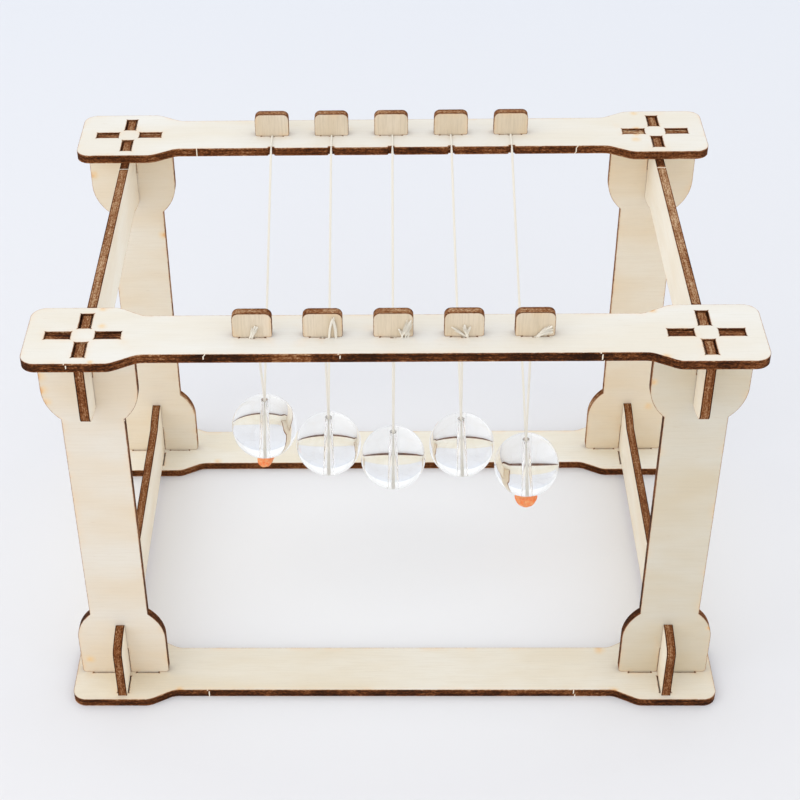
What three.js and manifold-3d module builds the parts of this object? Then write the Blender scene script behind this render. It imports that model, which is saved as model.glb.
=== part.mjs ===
// Newton's cradle: a slot-together frame of laser-cut plywood with five clear balls on threads.
// Millimetres, +Z up. The origin is the centre of the base, X runs along the rails, -Y is the front.
import * as THREE from 'three';
import { mergeVertices } from 'three/addons/utils/BufferGeometryUtils.js';
import Module from 'manifold-3d';

const wasm = await Module();
wasm.setup();

// ---- plywood sheet and frame ----
const PLY = 2.9;
const FRAME_HEIGHT = 137.2; // top face of the top rails
const POST_X = 88.5;
const RAIL_Y = 59.5;
const STOREY = FRAME_HEIGHT - 2 * PLY; // clear height between a bottom rail and a top rail
const CORNER_STEPS = 5;
const BULB_STEPS = 10;

// ---- rails ----
const RAIL_HALF_LENGTH = 104.9;
const RAIL_END_HALF_WIDTH = 14.1;
const RAIL_MID_HALF_WIDTH = 9.8;
const RAIL_CORNER = 4.5;
const NECK_OUTER_X = 79.6; // where the wide end starts to draw in
const NECK_INNER_X = 71.9; // where the narrow middle starts
const NECK_RADIUS = 6;

// ---- tabs and their slots: two each way round every post ----
const TAB_OFFSET = 7.2;
const TAB_LENGTH = 7.1;
const TAB_RECESS = 0.5; // how far a tab stops short of the rail's outer face
const SLOT_LENGTH = 7.45;
const SLOT_WIDTH = 3.7;
const LAP_CLEARANCE = 0.3;

// ---- posts ----
const SHAFT_HALF_WIDTH = 9.35;
const BULB_HALF_WIDTH = 14.25;
const BULB_CENTRE = 15.4; // from the rail face to the middle of the bulb's arc
const FOOT_CORNER = 1.2;

// ---- side beams ----
const BEAM_HALF_LENGTH = 71.8;
const BEAM_MID_HEIGHT = 18.8;
const BEAM_CROWN = 21.6; // height of the head over the post
const CROWN_HALF_SPAN = 13.6;
const BEAM_CORNER = 2.6;
const CORNER_SPAN = 8.5; // from the post's middle to where the rounded corner begins
const CROWN_STEPS = 4;
const LAP_DEPTH = BEAM_CROWN / 2;

// ---- pegs and thread notches ----
const PITCH = 20;
const COUNT = 5;
const PEG_HEAD_WIDTH = 11.3;
const PEG_HEAD_HEIGHT = 7.9;
const PEG_TOP_CORNER = 2;
const PEG_LOW_CORNER = 0.6;
const PEG_SLOT_WIDTH = 3.3;
const GROOVE_WIDTH = 1.4; // a groove in each long wall of a peg's slot lets the thread pass the tongue
const GROOVE_SPAN = 4.2; // from the bottom of one groove to the bottom of the other
const TONGUE_DEPTH = 2;
const NOTCH_WIDTH = 1.9;
const NOTCH_DEPTH = 0.9;
const NOTCH_EASE = 0.6;

// ---- thread ----
const THREAD_RADIUS = 0.25;
const THREAD_SIDES = 8;
const STRAND_OFFSET = 0.3; // half the spacing of the two strands inside a ball's hole
const KNOT_SEGMENTS = 12;
const KNOT_RADIUS = 1.25;
const SMALL_KNOT_RADIUS = 0.8;
const KNOT_DROP = 0.2; // gap between a ball and its knot
const THREAD_GAP = 0.3; // between the hanging thread and its end on the rail
const THREAD_LIFT = 0.05; // clearance over the rail
const THREAD_BEND = 0.35; // how tightly the thread turns round the tongue
const HOLE_LEAD = 0.5; // length over which a strand turns into the ball's hole
const TAIL_RISE = 3.6;
const HINGE_Y = RAIL_Y - RAIL_MID_HALF_WIDTH + NOTCH_DEPTH - THREAD_RADIUS;
const HINGE_Z = FRAME_HEIGHT + THREAD_RADIUS + THREAD_LIFT;

// ---- balls ----
const BALL_RADIUS = 11.2;
const HOLE_RADIUS = 1.1;
const BALL_SEGMENTS = 24;
const BALL_RINGS = 11;
// Where each ball hangs: the balls are wider than the pitch of the pegs, so they spread outwards.
const BALLS = [
  { x: -43.1, z: 58.8, stopper: 'tapered' },
  { x: -21.6, z: 51.3, stopper: null },
  { x: 0.4, z: 45.1, stopper: null },
  { x: 23.7, z: 50.5, stopper: null },
  { x: 46.2, z: 41.6, stopper: 'round' },
];
const PEG_SHIFT = 0.4; // the middle thread lies this far off its notch's centre
const TAPERED_STOPPER = [ // radius at each depth below the ball
  [2.4, 0],
  [3, 1.3],
  [2.85, 4],
  [1.9, 6.6],
];
const ROUND_STOPPER_RADIUS = 3.8;
const STOPPER_GAP = 0.15;
const STOPPER_LIP = 0.5; // flat rim round the round stopper's pocket
const STOPPER_RINGS = 9;
const STOPPER_SEGMENTS = 20;
const POCKET_RADIUS = 1.15;
const POCKET_DEPTH = 2.6;

// ---- materials ----
const veneer = { color: 0xf0e8d6, roughness: 0.8, metalness: 0 };
const postVeneer = { color: 0xe3dac8, roughness: 0.8, metalness: 0 };
const pegVeneer = { color: 0xd9cdb4, roughness: 0.8, metalness: 0 };
const acrylic = { color: 0xf4f8fb, roughness: 0.05, metalness: 0, transparent: true, opacity: 0.4 };
const cotton = { color: 0xe8e6df, roughness: 0.95, metalness: 0 };
const clay = { color: 0xfa965f, roughness: 0.9, metalness: 0 };

const cradle = new THREE.Group();
cradle.name = 'newtons_cradle';

function addMesh(parent, name, geometry, finish) {
  const mesh = new THREE.Mesh(geometry, new THREE.MeshStandardMaterial(finish));
  mesh.name = name;
  parent.add(mesh);
  return mesh;
}

// ---- outlines ----

function roundedPolygon(corners) {
  // corners: [x, y, radius]; each corner is an arc of its radius, tangent to both sides.
  const shape = new THREE.Shape();
  const count = corners.length;
  for (let i = 0; i < count; i += 1) {
    const [x, y, radius] = corners[i];
    const here = new THREE.Vector2(x, y);
    const before = new THREE.Vector2(...corners[(i + count - 1) % count]);
    const after = new THREE.Vector2(...corners[(i + 1) % count]);
    const inward = before.clone().sub(here).normalize();
    const outward = after.clone().sub(here).normalize();
    const turn = inward.angleTo(outward);
    const reach = radius / Math.tan(turn / 2);
    const start = here.clone().addScaledVector(inward, reach);
    const move = i === 0 ? 'moveTo' : 'lineTo';
    shape[move](start.x, start.y);
    if (radius > 0) addArc(shape, here, inward, outward, turn, radius);
  }
  shape.closePath();
  return shape;
}

function addArc(shape, corner, inward, outward, turn, radius) {
  const bisector = inward.clone().add(outward).normalize();
  const centre = corner.clone().addScaledVector(bisector, radius / Math.sin(turn / 2));
  const reach = radius / Math.tan(turn / 2);
  const start = corner.clone().addScaledVector(inward, reach).sub(centre);
  const sweep = Math.PI - turn;
  const side = inward.cross(outward) > 0 ? 1 : -1;
  for (let step = 1; step <= CORNER_STEPS; step += 1) {
    const angle = (-side * sweep * step) / CORNER_STEPS;
    const point = start.clone().rotateAround(new THREE.Vector2(), angle).add(centre);
    shape.lineTo(point.x, point.y);
  }
}

function plate(shape) {
  return new THREE.ExtrudeGeometry(shape, { depth: PLY, bevelEnabled: false });
}

// ---- solids ----

function toSolid(geometry) {
  const bare = geometry.clone();
  bare.deleteAttribute('normal');
  bare.deleteAttribute('uv');
  const merged = mergeVertices(bare);
  return new wasm.Manifold(
    new wasm.Mesh({
      numProp: 3,
      vertProperties: new Float32Array(merged.attributes.position.array),
      triVerts: new Uint32Array(merged.index.array),
    }),
  );
}

function toGeometry(solid) {
  const mesh = solid.getMesh();
  const geometry = new THREE.BufferGeometry();
  geometry.setAttribute('position', new THREE.BufferAttribute(new Float32Array(mesh.vertProperties), 3));
  geometry.setIndex(new THREE.BufferAttribute(new Uint32Array(mesh.triVerts), 1));
  geometry.computeVertexNormals();
  return geometry;
}

function slotCutter(x, y, length, width) {
  const cutter = new THREE.BoxGeometry(length, width, 3 * PLY);
  cutter.translate(x, y, PLY / 2);
  return toSolid(cutter);
}

// ---- rails ----

function notchCorners(x) {
  // One thread notch in the inner edge, walked in the direction of decreasing x.
  const half = NOTCH_WIDTH / 2;
  const edge = RAIL_MID_HALF_WIDTH;
  return [
    [x + half, edge, NOTCH_EASE],
    [x + half, edge - NOTCH_DEPTH, 0],
    [x - half, edge - NOTCH_DEPTH, 0],
    [x - half, edge, NOTCH_EASE],
  ];
}

function pegPositions() {
  return Array.from({ length: COUNT }, (_, i) => (i - (COUNT - 1) / 2) * PITCH);
}

function railGeometry(withPegs) {
  // The inner edge is on +y; the outline is walked anticlockwise.
  const L = RAIL_HALF_LENGTH;
  const E = RAIL_END_HALF_WIDTH;
  const M = RAIL_MID_HALF_WIDTH;
  const notches = withPegs ? pegPositions().reverse().flatMap(notchCorners) : [];
  const outline = roundedPolygon([
    [-L, -E, RAIL_CORNER],
    [-NECK_OUTER_X, -E, NECK_RADIUS],
    [-NECK_INNER_X, -M, NECK_RADIUS],
    [NECK_INNER_X, -M, NECK_RADIUS],
    [NECK_OUTER_X, -E, NECK_RADIUS],
    [L, -E, RAIL_CORNER],
    [L, E, RAIL_CORNER],
    [NECK_OUTER_X, E, NECK_RADIUS],
    [NECK_INNER_X, M, NECK_RADIUS],
    ...notches,
    [-NECK_INNER_X, M, NECK_RADIUS],
    [-NECK_OUTER_X, E, NECK_RADIUS],
    [-L, E, RAIL_CORNER],
  ]);
  let solid = toSolid(plate(outline));
  for (const x of [-POST_X, POST_X]) {
    for (const way of [-1, 1]) {
      solid = solid.subtract(slotCutter(x + way * TAB_OFFSET, 0, SLOT_LENGTH, SLOT_WIDTH));
      solid = solid.subtract(slotCutter(x, way * TAB_OFFSET, SLOT_WIDTH, SLOT_LENGTH));
    }
  }
  if (withPegs) {
    for (const x of pegPositions()) {
      solid = solid.subtract(slotCutter(x, 0, SLOT_LENGTH, PEG_SLOT_WIDTH));
      solid = solid.subtract(slotCutter(x, 0, GROOVE_WIDTH, GROOVE_SPAN));
    }
  }
  return toGeometry(solid);
}

function addRails() {
  for (const [depthName, side] of [['front', -1], ['back', 1]]) {
    for (const [levelName, z, withPegs] of [
      ['bottom', 0, false],
      ['top', FRAME_HEIGHT - PLY, true],
    ]) {
      const rail = addMesh(cradle, `${depthName}_${levelName}_rail`, railGeometry(withPegs), veneer);
      rail.position.set(0, side * RAIL_Y, z);
      if (side > 0) {
        // the back rail is the front one turned half round, so its notches face the front
        rail.rotation.z = Math.PI;
      }
    }
  }
}

// ---- posts ----

function bulbCorners(railFace, towards) {
  // Half a bulb on +x, from the rail's face to the shaft; towards is the way to the shaft.
  const centre = railFace + towards * BULB_CENTRE;
  const end = Math.acos(SHAFT_HALF_WIDTH / BULB_HALF_WIDTH);
  const points = [];
  for (let step = 0; step <= BULB_STEPS; step += 1) {
    const angle = (end * step) / BULB_STEPS;
    points.push([
      BULB_HALF_WIDTH * Math.cos(angle),
      centre + towards * BULB_HALF_WIDTH * Math.sin(angle),
      0,
    ]);
  }
  return points;
}

function endCorners(railFace, towards, cornerRadius) {
  // Half the end of a post on +x, from the middle out to the corner: half-lap slot, tab, shoulder.
  const lap = (PLY + LAP_CLEARANCE) / 2;
  const tabTip = railFace - towards * (PLY - TAB_RECESS);
  return [
    [lap, railFace + towards * LAP_DEPTH, 0],
    [lap, railFace, 0],
    [TAB_OFFSET - TAB_LENGTH / 2, railFace, 0],
    [TAB_OFFSET - TAB_LENGTH / 2, tabTip, 0],
    [TAB_OFFSET + TAB_LENGTH / 2, tabTip, 0],
    [TAB_OFFSET + TAB_LENGTH / 2, railFace, 0],
    [BULB_HALF_WIDTH, railFace, cornerRadius],
  ];
}

function postShape() {
  // y of the outline is height above the bottom rail
  const lower = [...endCorners(0, 1, FOOT_CORNER), ...bulbCorners(0, 1)];
  const upper = [...endCorners(STOREY, -1, FOOT_CORNER), ...bulbCorners(STOREY, -1)];
  const rightSide = [...lower, ...upper.reverse()];
  const leftSide = rightSide.map(([x, y, radius]) => [-x, y, radius]).reverse();
  return roundedPolygon([...rightSide, ...leftSide]);
}

function addPosts() {
  for (const [depthName, sideY] of [['front', -1], ['back', 1]]) {
    for (const [sideName, sideX] of [['left', -1], ['right', 1]]) {
      const post = addMesh(cradle, `${depthName}_${sideName}_post`, plate(postShape()), postVeneer);
      post.rotation.x = Math.PI / 2;
      post.position.set(sideX * POST_X, sideY * RAIL_Y + PLY / 2, PLY);
    }
  }
}

// ---- side beams ----

function crownPoint(distance) {
  // Height of the free edge at a distance from the post: a shallow arc over the head.
  const rise = BEAM_CROWN - BEAM_MID_HEIGHT;
  const radius = (CROWN_HALF_SPAN ** 2 + rise ** 2) / (2 * rise);
  return BEAM_CROWN - radius + Math.sqrt(radius ** 2 - distance ** 2);
}

function beamEndCorners() {
  // One end on +x, from the rail edge round the end to the free edge.
  const lap = (PLY + LAP_CLEARANCE) / 2;
  const tabTip = -(PLY - TAB_RECESS);
  const corners = [];
  for (const way of [-1, 1]) {
    const middle = RAIL_Y + way * TAB_OFFSET;
    corners.push(
      [middle - TAB_LENGTH / 2, 0, 0],
      [middle - TAB_LENGTH / 2, tabTip, 0],
      [middle + TAB_LENGTH / 2, tabTip, 0],
      [middle + TAB_LENGTH / 2, 0, 0],
    );
  }
  const stub = BEAM_HALF_LENGTH - RAIL_Y;
  corners.push([BEAM_HALF_LENGTH, 0, 0], [BEAM_HALF_LENGTH, crownPoint(stub), BEAM_CORNER]);
  for (let step = 1; step < CROWN_STEPS; step += 1) {
    const distance = CORNER_SPAN - ((CORNER_SPAN - lap) * step) / CROWN_STEPS;
    corners.push([RAIL_Y + distance, crownPoint(distance), 0]);
  }
  corners.push(
    [RAIL_Y + lap, crownPoint(lap), 0],
    [RAIL_Y + lap, LAP_DEPTH, 0],
    [RAIL_Y - lap, LAP_DEPTH, 0],
    [RAIL_Y - lap, crownPoint(lap), 0],
  );
  for (let step = 1; step <= 2 * CROWN_STEPS; step += 1) {
    const distance = lap + ((CROWN_HALF_SPAN - lap) * step) / (2 * CROWN_STEPS);
    corners.push([RAIL_Y - distance, crownPoint(distance), 0]);
  }
  return corners;
}

function beamShape() {
  // x of the outline is along the beam, y is height from the edge that meets the rails
  const end = beamEndCorners();
  const otherEnd = end.map(([x, y, radius]) => [-x, y, radius]).reverse();
  return roundedPolygon([...end, ...otherEnd]);
}

function axesMatrix(x, y, z) {
  // Turns the outline's axes into the given directions.
  const [alongX, alongY, alongZ] = [x, y, z].map((axis) => new THREE.Vector3(...axis));
  return new THREE.Matrix4().makeBasis(alongX, alongY, alongZ);
}

function addBeams() {
  for (const [sideName, sideX] of [['left', -1], ['right', 1]]) {
    const bottom = addMesh(cradle, `${sideName}_bottom_beam`, plate(beamShape()), veneer);
    bottom.setRotationFromMatrix(axesMatrix([0, 1, 0], [0, 0, 1], [1, 0, 0]));
    bottom.position.set(sideX * POST_X - PLY / 2, 0, PLY);
    const top = addMesh(cradle, `${sideName}_top_beam`, plate(beamShape()), veneer);
    top.setRotationFromMatrix(axesMatrix([0, -1, 0], [0, 0, -1], [1, 0, 0]));
    top.position.set(sideX * POST_X - PLY / 2, 0, FRAME_HEIGHT - PLY);
  }
}

// ---- pegs ----

function pegShape() {
  const head = PEG_HEAD_WIDTH / 2;
  const tongue = TAB_LENGTH / 2;
  return roundedPolygon([
    [-tongue, -TONGUE_DEPTH, 0],
    [tongue, -TONGUE_DEPTH, 0],
    [tongue, 0, 0],
    [head, 0, PEG_LOW_CORNER],
    [head, PEG_HEAD_HEIGHT, PEG_TOP_CORNER],
    [-head, PEG_HEAD_HEIGHT, PEG_TOP_CORNER],
    [-head, 0, PEG_LOW_CORNER],
    [-tongue, 0, 0],
  ]);
}

function addPegs() {
  for (const [depthName, side] of [['front', -1], ['back', 1]]) {
    pegPositions().forEach((x, i) => {
      const peg = addMesh(cradle, `${depthName}_peg_${i + 1}`, plate(pegShape()), pegVeneer);
      peg.rotation.x = Math.PI / 2;
      peg.position.set(x, side * RAIL_Y + PLY / 2, FRAME_HEIGHT);
    });
  }
}

// ---- threads ----

// A smooth curve whose steps fall on its own points, so tight bends need few steps.
class Route extends THREE.CatmullRomCurve3 {
  getPointAt(u, target) {
    return this.getPoint(u, target);
  }

  getTangentAt(u, target) {
    return this.getTangent(u, target);
  }
}

function cord(points) {
  const section = new THREE.Shape();
  section.absarc(0, 0, THREAD_RADIUS, 0, 2 * Math.PI, false);
  return new THREE.ExtrudeGeometry(section, {
    curveSegments: THREAD_SIDES / 2,
    steps: points.length - 1,
    extrudePath: new Route(points, false, 'centripetal'),
  });
}

function hangingLeg(side, drop, knotZ) {
  // From just inside the notch to the ball's hole, down the hole and into the knot.
  const rim = Math.sqrt(BALL_RADIUS ** 2 - HOLE_RADIUS ** 2);
  const top = new THREE.Vector3(0, side * HINGE_Y, 0);
  const entry = new THREE.Vector3(0, side * STRAND_OFFSET, -drop + rim + HOLE_LEAD);
  const span = top.distanceTo(entry);
  const along = (distance) => top.clone().lerp(entry, distance / span);
  const inHole = (z) => new THREE.Vector3(0, side * STRAND_OFFSET, z);
  return [
    along(THREAD_GAP),
    along(span / 4),
    along(span / 2),
    along((span * 3) / 4),
    along(span - 8 * HOLE_LEAD),
    along(span - HOLE_LEAD),
    inHole(-drop + rim - HOLE_LEAD / 2),
    inHole(-drop + rim / 2),
    inHole(-drop - rim / 2),
    inHole(-drop - rim + HOLE_LEAD),
    inHole(knotZ),
  ];
}

function hangingThread(drop, knotRadius) {
  const knotZ = -drop - BALL_RADIUS - KNOT_DROP - knotRadius;
  const legs = [-1, 1].map((side) => toSolid(cord(hangingLeg(side, drop, knotZ))));
  const knot = new THREE.SphereGeometry(knotRadius, KNOT_SEGMENTS, (2 * KNOT_SEGMENTS) / 3);
  knot.rotateX(Math.PI / 2);
  knot.translate(0, 0, knotZ);
  return toGeometry(legs[0].add(legs[1]).add(toSolid(knot)));
}

function threadEndPoints(side, rise) {
  // Along the rail from the notch, down beside the peg's tongue, under it, and up its outer face.
  const rest = HINGE_Z;
  const wall = (PLY / 2 + GROOVE_SPAN / 2) / 2; // middle of the gap between tongue and groove
  const under = FRAME_HEIGHT - (TONGUE_DEPTH + PLY) / 2;
  const at = (inset, z) => new THREE.Vector3(0, side * (RAIL_Y - inset), z);
  return [
    at(RAIL_Y - HINGE_Y - THREAD_GAP / 2, rest),
    at(RAIL_Y - HINGE_Y - 2, rest),
    at((RAIL_Y - HINGE_Y) / 2, rest),
    at(wall + 1.5 * THREAD_BEND, rest),
    at(wall + 0.4 * THREAD_BEND, rest - 0.4 * THREAD_BEND),
    at(wall, rest - 1.5 * THREAD_BEND),
    at(wall, under + THREAD_BEND),
    at(wall - THREAD_BEND, under),
    at(0, under),
    at(-wall + THREAD_BEND, under),
    at(-wall, under + THREAD_BEND),
    at(-wall, rest - 1.5 * THREAD_BEND),
    at(-wall, rest + rise / 2),
    at(-wall, rest + rise),
  ];
}

function addThreadEnds() {
  for (const [depthName, side] of [['front', -1], ['back', 1]]) {
    pegPositions().forEach((x, i) => {
      const points = threadEndPoints(side, TAIL_RISE);
      const end = addMesh(cradle, `${depthName}_thread_end_${i + 1}`, cord(points), cotton);
      end.position.x = hingeX(i);
    });
  }
}

// ---- balls and stoppers ----

function ballGeometry() {
  const rimAngle = Math.asin(HOLE_RADIUS / BALL_RADIUS);
  const profile = [];
  for (let ring = 0; ring <= BALL_RINGS; ring += 1) {
    const angle = rimAngle + ((Math.PI - 2 * rimAngle) * ring) / BALL_RINGS;
    profile.push(new THREE.Vector2(BALL_RADIUS * Math.sin(angle), -BALL_RADIUS * Math.cos(angle)));
  }
  profile.push(profile[0].clone());
  const ball = new THREE.LatheGeometry(profile, BALL_SEGMENTS);
  ball.rotateX(Math.PI / 2);
  return ball;
}

function stopperGeometry(kind) {
  // The top is at z = 0, with a pocket in it that takes the knot.
  const profile = [new THREE.Vector2(0, -POCKET_DEPTH), new THREE.Vector2(POCKET_RADIUS, -POCKET_DEPTH)];
  profile.push(new THREE.Vector2(POCKET_RADIUS, 0));
  if (kind === 'tapered') {
    for (const [radius, depth] of TAPERED_STOPPER) {
      profile.push(new THREE.Vector2(radius, -depth));
    }
    profile.push(new THREE.Vector2(0, -TAPERED_STOPPER.at(-1)[1]));
  } else {
    const radius = ROUND_STOPPER_RADIUS;
    const topAngle = Math.asin((POCKET_RADIUS + STOPPER_LIP) / radius);
    const drop = radius * Math.cos(topAngle);
    for (let ring = 0; ring < STOPPER_RINGS; ring += 1) {
      const angle = topAngle + ((Math.PI - topAngle) * ring) / STOPPER_RINGS;
      profile.push(new THREE.Vector2(radius * Math.sin(angle), radius * Math.cos(angle) - drop));
    }
    profile.push(new THREE.Vector2(0, -radius - drop));
  }
  const stopper = new THREE.LatheGeometry(profile.reverse(), STOPPER_SEGMENTS);
  stopper.rotateX(Math.PI / 2);
  return stopper;
}

function hingeX(i) {
  const middle = (COUNT - 1) / 2;
  return (i - middle) * PITCH + (i === middle ? PEG_SHIFT : 0);
}

function addPendulums() {
  BALLS.forEach(({ x, z, stopper }, i) => {
    const across = x - hingeX(i);
    const down = HINGE_Z - z;
    const drop = Math.hypot(across, down);
    const pendulum = new THREE.Group();
    pendulum.position.set(hingeX(i), 0, HINGE_Z);
    pendulum.rotation.y = -Math.atan2(across, down);
    cradle.add(pendulum);

    const ball = addMesh(pendulum, `ball_${i + 1}`, ballGeometry(), acrylic);
    ball.position.z = -drop;
    const knotRadius = stopper ? SMALL_KNOT_RADIUS : KNOT_RADIUS;
    addMesh(pendulum, `thread_${i + 1}`, hangingThread(drop, knotRadius), cotton);
    if (stopper) {
      const piece = addMesh(pendulum, `stopper_${i + 1}`, stopperGeometry(stopper), clay);
      piece.position.z = -drop - BALL_RADIUS - STOPPER_GAP;
    }
  });
}

addRails();
addPosts();
addBeams();
addPegs();
addThreadEnds();
addPendulums();

export default cradle;
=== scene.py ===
import math
import random

import bpy
import numpy as np
from mathutils import Matrix, Vector, noise
from mathutils.geometry import delaunay_2d_cdt


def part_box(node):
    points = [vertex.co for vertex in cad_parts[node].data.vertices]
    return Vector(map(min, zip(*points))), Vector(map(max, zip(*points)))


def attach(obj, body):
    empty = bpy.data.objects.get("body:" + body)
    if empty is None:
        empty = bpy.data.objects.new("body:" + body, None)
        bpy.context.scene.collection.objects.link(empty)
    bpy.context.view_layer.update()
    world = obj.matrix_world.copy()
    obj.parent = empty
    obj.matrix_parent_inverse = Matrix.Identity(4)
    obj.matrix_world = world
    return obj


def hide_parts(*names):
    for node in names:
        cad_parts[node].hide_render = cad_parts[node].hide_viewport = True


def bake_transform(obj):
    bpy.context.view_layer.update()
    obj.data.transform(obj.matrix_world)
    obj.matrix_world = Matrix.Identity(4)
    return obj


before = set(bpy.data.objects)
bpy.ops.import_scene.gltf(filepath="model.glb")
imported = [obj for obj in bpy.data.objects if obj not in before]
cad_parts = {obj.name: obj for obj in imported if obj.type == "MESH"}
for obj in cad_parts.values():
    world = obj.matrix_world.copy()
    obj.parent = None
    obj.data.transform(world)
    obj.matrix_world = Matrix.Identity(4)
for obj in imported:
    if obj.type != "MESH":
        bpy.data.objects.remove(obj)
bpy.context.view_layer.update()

MM = 0.001


def box_mm(node):
    low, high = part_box(node)
    return Vector(low) / MM, Vector(high) / MM


# ---- sizes taken from the frame ----
rail_low, rail_high = box_mm("front_top_rail")
post_low, post_high = box_mm("front_right_post")
beam_low, beam_high = box_mm("right_bottom_beam")
peg_low, peg_high = box_mm("front_peg_5")
ball_low, ball_high = box_mm("ball_3")
PLY = rail_high.z - rail_low.z
FRAME_HEIGHT = rail_high.z
RAIL_Y = -(rail_low.y + rail_high.y) / 2
RAIL_HALF_LENGTH = rail_high.x
RAIL_END_HALF_WIDTH = (rail_high.y - rail_low.y) / 2
POST_X = (post_low.x + post_high.x) / 2
BULB_HALF_WIDTH = (post_high.x - post_low.x) / 2
STOREY = FRAME_HEIGHT - 2 * PLY
TAB_RECESS = post_low.z
BEAM_HALF_LENGTH = beam_high.y
BEAM_CROWN = beam_high.z - PLY
PEG_HEAD_WIDTH = peg_high.x - peg_low.x
PEG_HEAD_HEIGHT = peg_high.z - FRAME_HEIGHT
TONGUE_DEPTH = FRAME_HEIGHT - peg_low.z
COUNT = 5
PITCH = (peg_low.x + peg_high.x) / (COUNT - 1)
BALL_RADIUS = (ball_high.y - ball_low.y) / 2

# ---- outline sizes that the boxes don't hold ----
RAIL_MID_HALF_WIDTH = 9.8
RAIL_CORNER = 4.5
NECK_OUTER_X = 79.6
NECK_INNER_X = 71.9
NECK_RADIUS = 6
TAB_OFFSET = 7.2
TAB_LENGTH = 7.1
SLOT_LENGTH = 7.45
SLOT_WIDTH = 3.7
TAB_DEPTH = PLY - TAB_RECESS
LAP_CLEARANCE = 0.3
LAP_HALF_WIDTH = (PLY + LAP_CLEARANCE) / 2
SHAFT_HALF_WIDTH = 9.35
BULB_CENTRE = 15.4
FOOT_CORNER = 1.2
BEAM_MID_HEIGHT = 18.8
CROWN_HALF_SPAN = 13.6
BEAM_CORNER = 2.6
STUB_CROWN_START = 8.5  # from the post's middle to where the stub's rounded corner has ended
LAP_DEPTH = BEAM_CROWN / 2
PEG_TOP_CORNER = 2
PEG_LOW_CORNER = 0.6
PEG_SLOT_WIDTH = 3.3
GROOVE_WIDTH = 1.4
GROOVE_SPAN = 4.2
NOTCH_WIDTH = 1.9
NOTCH_DEPTH = 0.9
NOTCH_EASE = 0.6
HOLE_RADIUS = 1.1

# ---- how finely the plates are built ----
CUT_STEP = 0.5  # spacing of points along a cut edge
ARC_STEP = 0.35
CHAMFER = 0.07
CUT_WAVER = 0.035  # how far the laser's path strays
OVERBURN = 0.17  # how far the laser eats into the corner of a slot
OVERBURN_REACH = 0.35
NICK_OUT = 0.12
TONE_REACH = 0.5  # how far off its edge line a lighter or darker stretch takes in points
CHIP_LEVEL = 0.36  # noise over which the skin is chipped at the top of a cut
SCORCH_RINGS = (0.35, 1.0, 2.4)  # distances from a cut at which the face has a row of points
FACE_GRID = 5.0

# ---- wood tints, the palest and the warmest patches: besides the wood's own colour they hold painted light and shade, each piece's tint set to how bright it looks in the scene's light ----
RAIL_TINT = ((233, 230, 222), (230, 223, 208))
# the back low rail's paler tint is painted light against its shade
LOW_RAIL_TINTS_PAINTED_LIGHT_SHADE = {
    "front": ((233, 227, 213), (227, 216, 194)),
    "back": ((242, 239, 229), (236, 228, 209)),
}
# painted light and shade: front_right is darker as painted shade, the back posts are paler as painted light
# against their shade
POST_TINTS_PAINTED_LIGHT_SHADE = {
    "front_left": ((227, 219, 205), (225, 210, 187)),
    "front_right": ((214, 207, 191), (210, 197, 172)),
    "back_left": ((234, 225, 208), (231, 215, 189)),
    "back_right": ((233, 222, 202), (230, 212, 183)),
}
# painted light: the beams' pale tint lifts their shaded inner faces
BEAM_TINT_PAINTED_LIGHT = ((248, 241, 225), (242, 229, 206))
PEG_TINT = ((225, 211, 190), (215, 198, 171))

# ---- thread ----
THREAD_RADIUS = 0.3
STRAND_ASIDE = 0.3  # from the middle of a ball's hole to each strand
KNOT_RADIUS = 1.25
HIDDEN_KNOT_RADIUS = 0.8  # of a knot inside a stopper
KNOT_DROP = 0.2
LEG_RADIUS = 0.4  # where the thread hangs free
SQUEEZE = 0.6  # share of that radius where it leaves its notch
SQUEEZED_LENGTH = 6
HINGE_RISE = 0.3  # of the line each pendulum swings on, over the rail
HINGE_GAP = 0.15
PLIES = 3
TWIST_PITCH = 1.5
PLY_SIDES = 6
FIBRE_RADIUS = 0.07


# ---- objects and camera ----

def new_object(name, data):
    made = bpy.data.objects.new(name, data)
    bpy.context.scene.collection.objects.link(made)
    return made


def add_camera():
    data = bpy.data.cameras.new("camera")
    data.sensor_width = 36
    data.lens = 78.86
    data.shift_x = 0.0735
    data.shift_y = 0.0756
    data.clip_start = 0.01
    data.clip_end = 50
    camera = new_object("camera", data)
    camera.location = Vector((-2.769, -470.542, 419.531)) * MM
    camera.rotation_euler = [math.radians(angle) for angle in (51.392, 1.02, 0.974)]
    bpy.context.scene.camera = camera


add_camera()


# ---- materials ----

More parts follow.
